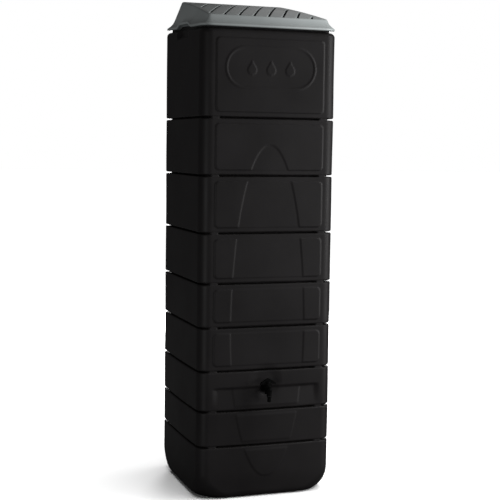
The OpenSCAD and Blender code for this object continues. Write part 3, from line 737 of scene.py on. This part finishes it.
def lid_outline(loop, side, front, back):
    """x and y of a rounded outline standing in from the rim by three amounts."""
    r = np.maximum(CORNER_R - side, LID_CORNER_R_MIN)
    hx = RIM_HALF_W - side
    x = loop.sx * (hx - r) + loop.nx * r
    y_front = -(RIM_HALF_D - front - r)
    y_back = RIM_HALF_D - back - r
    y = y_front + (y_back - y_front) * (loop.sy + 1) / 2 + loop.ny * r
    return x, y


def flank_outline(loop, h, shrink):
    return lid_outline(loop, flank_inset(h, SIDE_FOOT, SIDE_LEAN) + shrink,
                       flank_inset(h, FRONT_FOOT, FRONT_LEAN) + shrink,
                       flank_inset(h, BACK_FOOT, BACK_LEAN) + shrink)


def seat_height(y, h):
    """Height above the floor of a point h above the inclined seat."""
    return SEAT_Z + y * math.tan(SEAT_TILT) + h / math.cos(SEAT_TILT)


def lid_edge_h(loop, shrink, drop):
    """For each column, the height above the seat at which the flank meets the top."""
    first_guess, rounds = 60 * MM, 30
    h = np.full(len(loop.sx), first_guess)
    for _ in range(rounds):
        _, y = flank_outline(loop, h, shrink)
        h = (h + lid_top_z(y) - drop - SEAT_Z - y * math.tan(SEAT_TILT)) / 2
    return h


def grip_arch(loop, y, h):
    """How much the rim arches up over the finger grips on both sides."""
    on_side = np.isin(loop.face, (RIGHT, LEFT)) & (loop.bend == 0)
    arch = on_side * GRIP_ARCH * inside(np.abs(y) - ARCH_HALF_W, ARCH_EDGE)
    return arch * np.clip(1 - h / ARCH_H, 0, 1)


class LidRings:
    """Collects the rings of the lid's skin."""

    def __init__(self):
        self.loop = Loop(front=61, side=61, corner=9)
        self.rings = []

    def rim(self, inset, h, most_lift):
        """A ring round the rim; most_lift limits how far it follows the arch of the grips."""
        x, y = lid_outline(self.loop, inset, inset, inset)
        lift = np.minimum(grip_arch(self.loop, y, 0), most_lift)
        self.rings.append(np.column_stack([x, y, seat_height(y, h + lift)]))

    def flank(self, h, shrink):
        x, y = flank_outline(self.loop, h + np.zeros(len(self.loop.sx)), shrink)
        lift = grip_arch(self.loop, y, h)
        self.rings.append(np.column_stack([x, y, seat_height(y, h + lift)]))

    def top(self, outline, scales, surface):
        """Rings across the top, scaled copies of its outline laid on a surface."""
        centre = outline.mean(axis=0)
        for scale in scales:
            xy = centre + (outline - centre) * scale
            self.rings.append(np.column_stack([xy, surface(xy[:, 1])]))


def lid_rings():
    outside = LidRings()
    # underside of the rim from its inner edge, then round the bead
    for inset, most_lift in ((22, 9.5), (15, 12), (9, GRIP_ARCH / MM)):
        outside.rim(inset * MM, 0, most_lift * MM)
    bead = RIM_T / 2
    for angle in np.radians(np.linspace(-90, 60, 9)):
        outside.rim(bead - bead * math.cos(angle), bead + bead * math.sin(angle), GRIP_ARCH)
    # up the flare and the leaning wall
    edge_h = lid_edge_h(outside.loop, 0, 0)
    flare_top = np.minimum(RIM_T + FLARE_H, edge_h - 9 * MM)
    for share in (0, 0.05, 0.12, 0.22, 0.35, 0.5, 0.7, 0.85):
        outside.flank(RIM_T + share * (flare_top - RIM_T), 0)
    for share in (0, 0.2, 0.4, 0.6, 0.8):
        outside.flank(flare_top + share * (edge_h - flare_top - 6 * MM), 0)
    # over the rounded edge, given as drop below it and tuck in, on to the top
    for drop, tuck in ((6, 0), (3.4, 0.25), (1.6, 1.0), (0.5, 2.6), (0.05, 5.2)):
        outside.flank(edge_h - drop * MM, tuck * MM)
    outline = outside.rings[-1][:, :2]
    outside.top(outline, np.linspace(0.985, 0.02, 30), lid_top_z)
    # underside of the top, inner walls and the ledge that rests on the neck
    inner = LidRings()
    inner.top(outline, np.linspace(0.02, 0.975, 16), lambda y: lid_plane_z(y) - LID_WALL)
    inner_h = lid_edge_h(inner.loop, LID_WALL, LID_WALL)
    for share in (0.96, 0.7, 0.4, 0.15, 0):
        inner.flank(LEDGE_H + share * (inner_h - LEDGE_H), LID_WALL)
    for inset, h in ((32, LEDGE_H), (32, NECK_RISE), (22, NECK_RISE)):
        inner.rim(inset * MM, h, 0)
    return np.stack(inner.rings + outside.rings)


def on_lid(x, y, height):
    """A point given along the lid's slope and above it."""
    return (x, LID_FRONT_Y + y * math.cos(LID_SLOPE) - height * math.sin(LID_SLOPE),
            LID_FRONT_Z + y * math.sin(LID_SLOPE) + height * math.cos(LID_SLOPE))


def slot_x(k, y):
    """Where slot k's middle line lies at a place along the slope."""
    middle_x = SLOT_SHIFT + (k - (SLOT_COUNT - 1) / 2) * SLOT_PITCH
    return middle_x + (y - SLOT_RUN / 2) * SLOT_SLOPE


def slot_span(k):
    """Where slot k starts and stops, along the slope from the first slot row."""
    left = (SLOT_LEFT[1] - SLOT_LEFT[0]) / SLOT_RUN
    right = (SLOT_RIGHT[1] - SLOT_RIGHT[0]) / SLOT_RUN
    start = max(0, (SLOT_LEFT[0] - slot_x(k, 0)) / (SLOT_SLOPE - left))
    stop = min(SLOT_RUN, (SLOT_RIGHT[0] - slot_x(k, 0)) / (SLOT_SLOPE - right))
    return start, stop


def slot_outline(k, grow):
    """The slot with its two round ends, in the plane of the lid top."""
    start, stop = slot_span(k)
    a = np.array([slot_x(k, start), start + SLOT_LOW_Y])
    b = np.array([slot_x(k, stop), stop + SLOT_LOW_Y])
    way = (b - a) / np.linalg.norm(b - a)
    turn = math.atan2(way[1], way[0])
    half = SLOT_W / 2 + grow
    end_r = SLOT_END_R + grow
    spread = math.pi - math.asin(half / end_r)
    end_points = 15
    points = []
    for centre, facing in ((b, turn), (a, turn + math.pi)):
        for angle in np.linspace(facing - spread, facing + spread, end_points):
            points.append(centre + end_r * np.array([math.cos(angle), math.sin(angle)]))
    return np.array(points)


def slot_cutter(k):
    """A prism through the lid top, flared at its upper edge so that the slot is softened."""
    verts = []
    for grow, height in SLOT_CUT:
        outline = slot_outline(k, grow * MM)
        for x, y in outline:
            crown = LID_CROWN * max(0, 1 - (2 * y / (SLOT_RUN + 2 * SLOT_LOW_Y) - 1) ** 2)
            verts.append(on_lid(x, y, height * MM + crown))
    count = len(outline)
    top = len(verts) - count
    faces = [(row + i, row + (i + 1) % count, row + count + (i + 1) % count, row + count + i)
             for row in range(0, top, count) for i in range(count)]
    faces += [tuple(reversed(range(count))), tuple(range(top, len(verts)))]
    mesh = bpy.data.meshes.new("slot_cutter")
    mesh.from_pydata(verts, [], faces)
    turn_outward(mesh)
    return new_object("slot_cutter", mesh)


def cut(target, cutters):
    """Cuts every cutter out of target, applies the result and removes the cutters."""
    for cutter in cutters:
        modifier = target.modifiers.new("slot", "BOOLEAN")
        modifier.operation = "DIFFERENCE"
        modifier.solver = "EXACT"
        modifier.object = cutter
    graph = bpy.context.evaluated_depsgraph_get()
    result = bpy.data.meshes.new_from_object(target.evaluated_get(graph))
    target.modifiers.clear()
    target.data = result
    for cutter in cutters:
        bpy.data.objects.remove(cutter)


def build_lid():
    mesh = ring_mesh("lid_skin", lid_rings())
    turn_outward(mesh)
    lid = new_object("lid_skin", mesh)
    cut(lid, [slot_cutter(k) for k in range(SLOT_COUNT)])
    lid.data.set_sharp_from_angle(angle=SHARP_ANGLE)
    stand_in(lid, LID_GREY, "lid_shell", "lid")
    return lid


# ---- woven insect screen ----

def screen_half(y):
    """Half width of the screen at a place along the slope."""
    share = (y - SCREEN_LOW) / (SCREEN_HIGH - SCREEN_LOW)
    return SCREEN_FRONT_HALF + (SCREEN_BACK_HALF - SCREEN_FRONT_HALF) * share


def add_wire(verts, faces, points, along_x):
    """One square wire with closed ends through points given as (x, y, height)."""
    start = len(verts)
    for x, y, height in points:
        for side, rise in ((1, 0), (0, 1), (-1, 0), (0, -1)):
            dx, dy = (0, side * WIRE_R) if along_x else (side * WIRE_R, 0)
            verts.append(on_lid(x + dx, y + dy, height + rise * WIRE_R))
    for i in range(start, len(verts) - 4, 4):
        for j in range(4):
            faces.append((i + j, i + (j + 1) % 4, i + 4 + (j + 1) % 4, i + 4 + j))
    faces.append((start + 3, start + 2, start + 1, start))
    faces.append(tuple(range(len(verts) - 4, len(verts))))


def build_screen():
    """Wires woven over and under each other, held between the lid and the screen frame."""
    verts, faces = [], []
    rows = int((SCREEN_HIGH - SCREEN_LOW) / WIRE_PITCH)
    level = -LID_WALL - SCREEN_T / 2
    places = [SCREEN_LOW + WIRE_R + j * WIRE_PITCH for j in range(rows)]
    for j, y in enumerate(places):
        reach = int(screen_half(y) / WIRE_PITCH)
        steps = [m / 2 for m in range(-2 * reach, 2 * reach + 1)]
        points = [(m * WIRE_PITCH, y, level + WEAVE * math.cos(math.pi * (m + j))) for m in steps]
        add_wire(verts, faces, points, True)
    widest = int(SCREEN_FRONT_HALF / WIRE_PITCH)
    for i in range(-widest, widest + 1):
        last = max(j for j, y in enumerate(places) if abs(i) * WIRE_PITCH <= screen_half(y))
        steps = [m / 2 for m in range(2 * last + 1)]
        points = [(i * WIRE_PITCH, places[0] + m * WIRE_PITCH,
                   level - WEAVE * math.cos(math.pi * (m + i))) for m in steps]
        add_wire(verts, faces, points, False)
    mesh = smooth_mesh("screen_weave", verts, faces)
    turn_outward(mesh)
    screen = new_object("screen_weave", mesh)
    stand_in(screen, SCREEN_WIRE, "insect_screen", "lid")


# ---- carried-over nodes ----

EDGE_ROUND = 0.5 * MM
EDGE_ANGLE = math.radians(40)

NODE_MATERIALS = {
    "tap_bush": BRASS, "drain_bush": BRASS, "bracket_inserts": BRASS,
    "wall_brackets": ZINC, "bracket_washers": STEEL, "bracket_bolts": STEEL,
    "screen_frame": FRAME_BLACK, "screen_screws": STEEL,
    "tap_seal": RUBBER, "tap_body": TAP_BLACK, "tap_plug": PLUG_WHITE, "plug_seals": RUBBER,
    "plug_gland": TAP_BLACK, "tap_handle": TAP_BLACK, "handle_screw": STEEL,
    "outlet_seal": RUBBER, "hose_tail": TAP_BLACK, "drain_seal": RUBBER,
    "drain_plug": TAP_BLACK, "inlet_gasket": RUBBER, "inlet_spigot": TAP_BLACK,
    "inlet_nut": TAP_BLACK,
}


def finish_nodes():
    """Gives the CAD nodes their materials, and the hard ones slightly rounded edges."""
    for name, material in NODE_MATERIALS.items():
        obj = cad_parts[name]
        obj.data.materials.clear()
        obj.data.materials.append(material)
        if material is not RUBBER:
            edge = obj.modifiers.new("soft_edge", "BEVEL")
            edge.width = EDGE_ROUND
            edge.segments = 2
            edge.limit_method = "ANGLE"
            edge.angle_limit = EDGE_ANGLE


# ---- stage, light and camera ----

CAMERA_AT = Vector((-1.6576, -4.8351, 1.4946))
CAMERA_YAW, CAMERA_TILT, CAMERA_ROLL = (math.radians(a) for a in (19.145, 5.142, 0.784))
CAMERA_LENS = 82.76
SENSOR = 36
GLOW = 0.05
MIRRORED = 0.06
FLOOR_REACH = 60
FLOOR_DROP = 0.5 * MM
FLOOR_SUN = 4.2
SUN_BLUR, SUN_TILT_X, SUN_TILT_Y = (math.radians(a) for a in (70, 8, 14))

# soft boxes: place, aim, size in metres and power in watts
TANK_LIGHTS = {
    "tank_key": ((2.2, -1.35, 1.95), (0, -0.1, 1.4), (0.9, 3.4), 59),
    "tank_left": ((-3.2, -3.4, 0.7), (0, 0, 0.6), (1.2, 1.2), 31),
    "tank_front": ((3.0, -4.2, 0.8), (0, 0, 0.6), (1.6, 1.4), 20),
}
LID_LIGHTS = {
    "lid_left": ((-4.6, -1.6, 1.6), (0, 0, 1.1), (2.0, 3.2), 58),
    "lid_key": ((0.8, -1.0, 2.2), (0.3, -0.3, 2.03), (0.25, 0.25), 17.5),
    "lid_back": ((1.6, 2.6, 3.4), (0, 0, 2.1), (1.6, 1.6), 5.2),
}
BACK_LIGHT = ((1.6, 5.0, 1.5), (0, 0, 1.1), (1.6, 2.4), 260)


def build_camera():
    data = bpy.data.cameras.new("camera")
    data.lens = CAMERA_LENS
    data.sensor_width = SENSOR
    camera = new_object("camera", data)
    forward = Vector((math.sin(CAMERA_YAW) * math.cos(CAMERA_TILT),
                      math.cos(CAMERA_YAW) * math.cos(CAMERA_TILT), -math.sin(CAMERA_TILT)))
    right = Vector((math.cos(CAMERA_YAW), -math.sin(CAMERA_YAW), 0))
    up = right.cross(forward)
    right, up = (right * math.cos(CAMERA_ROLL) + up * math.sin(CAMERA_ROLL),
                 up * math.cos(CAMERA_ROLL) - right * math.sin(CAMERA_ROLL))
    turn = Matrix((right, up, -forward)).transposed()
    camera.matrix_world = Matrix.Translation(CAMERA_AT) @ turn.to_4x4()
    bpy.context.scene.camera = camera


def area_light(name, place, aim, size, power):
    data = bpy.data.lights.new(name, "AREA")
    data.shape = "RECTANGLE"
    data.size, data.size_y = size
    data.energy = power
    light = new_object(name, data)
    light.location = place
    way = Vector(aim) - Vector(place)
    light.rotation_euler = way.to_track_quat("-Z", "Y").to_euler()
    return light


def only_lights(light, objects):
    """Limits a light to some objects."""
    group = bpy.data.collections.new(light.name + "_only")
    for obj in objects:
        group.objects.link(obj)
    light.light_linking.receiver_collection = group


def floor_material():
    """Pale floor: white to the camera, darker to everything that mirrors or bounces off it."""
    n = Nodes("floor_white")
    n.link(n.mix(n.noise(scale=2, detail=2), (0.86, 0.86, 0.86), (0.88, 0.88, 0.88)),
           n.shader.inputs["Base Color"])
    n.shader.inputs["Roughness"].default_value = 0.9
    n.shader.inputs["Specular IOR Level"].default_value = 0.1
    path = n.add("ShaderNodeLightPath")
    dull = n.add("ShaderNodeBsdfDiffuse")
    dull.inputs["Color"].default_value = (0.05, 0.05, 0.05, 1)
    pick = n.add("ShaderNodeMixShader")
    out = n.tree.nodes["Material Output"]
    n.link(path.outputs["Is Camera Ray"], pick.inputs["Fac"])
    n.link(dull.outputs["BSDF"], pick.inputs[1])
    n.link(n.shader.outputs["BSDF"], pick.inputs[2])
    n.link(pick.outputs["Shader"], out.inputs["Surface"])
    return n.material


def build_floor():
    """A wide floor just under the part, with a soft sun of its own that casts the shadow."""
    mesh = bpy.data.meshes.new("floor")
    corners = [(x * FLOOR_REACH, y * FLOOR_REACH, 0)
               for x, y in ((-1, -1), (1, -1), (1, 1), (-1, 1))]
    mesh.from_pydata(corners, [], [(0, 1, 2, 3)])
    mesh.materials.append(floor_material())
    floor = new_object("floor", mesh)
    floor.location.z = -FLOOR_DROP
    data = bpy.data.lights.new("floor_sun", "SUN")
    data.energy = FLOOR_SUN
    data.angle = SUN_BLUR
    sun = new_object("floor_sun", data)
    sun.rotation_euler = (SUN_TILT_X, SUN_TILT_Y, 0)
    only_lights(sun, [floor])


def build_lights(lid):
    """The grey lid and the black body each have their own soft boxes."""
    for name, light in LID_LIGHTS.items():
        only_lights(area_light(name, *light), [lid])
    body = [obj for obj in bpy.context.scene.objects if obj.type == "MESH" and obj != lid]
    for name, light in TANK_LIGHTS.items():
        only_lights(area_light(name, *light), body)
    area_light("back_light", *BACK_LIGHT)


def build_world():
    """White to the camera, a weak glow for diffuse light, almost black in reflections."""
    world = bpy.data.worlds.new("studio")
    bpy.context.scene.world = world
    world.use_nodes = True
    tree = world.node_tree
    tree.nodes.clear()

    def background(color, strength):
        node = tree.nodes.new("ShaderNodeBackground")
        node.inputs["Color"].default_value = (*color, 1)
        node.inputs["Strength"].default_value = strength
        return node.outputs["Background"]

    def choose(ray, otherwise, then):
        node = tree.nodes.new("ShaderNodeMixShader")
        tree.links.new(path.outputs[ray], node.inputs["Fac"])
        tree.links.new(otherwise, node.inputs[1])
        tree.links.new(then, node.inputs[2])
        return node.outputs["Shader"]

    glow = background((0.97, 0.99, 1.0), GLOW)
    mirrored = background((1.0, 0.98, 0.98), MIRRORED)
    seen = background((1, 1, 1), 1)
    path = tree.nodes.new("ShaderNodeLightPath")
    surface = choose("Is Camera Ray", choose("Is Glossy Ray", glow, mirrored), seen)
    out = tree.nodes.new("ShaderNodeOutputWorld")
    tree.links.new(surface, out.inputs["Surface"])
    bpy.context.scene.view_settings.view_transform = "Standard"


build_tank()
lid = build_lid()
build_screen()
finish_nodes()
build_floor()
build_lights(lid)
build_world()
build_camera()
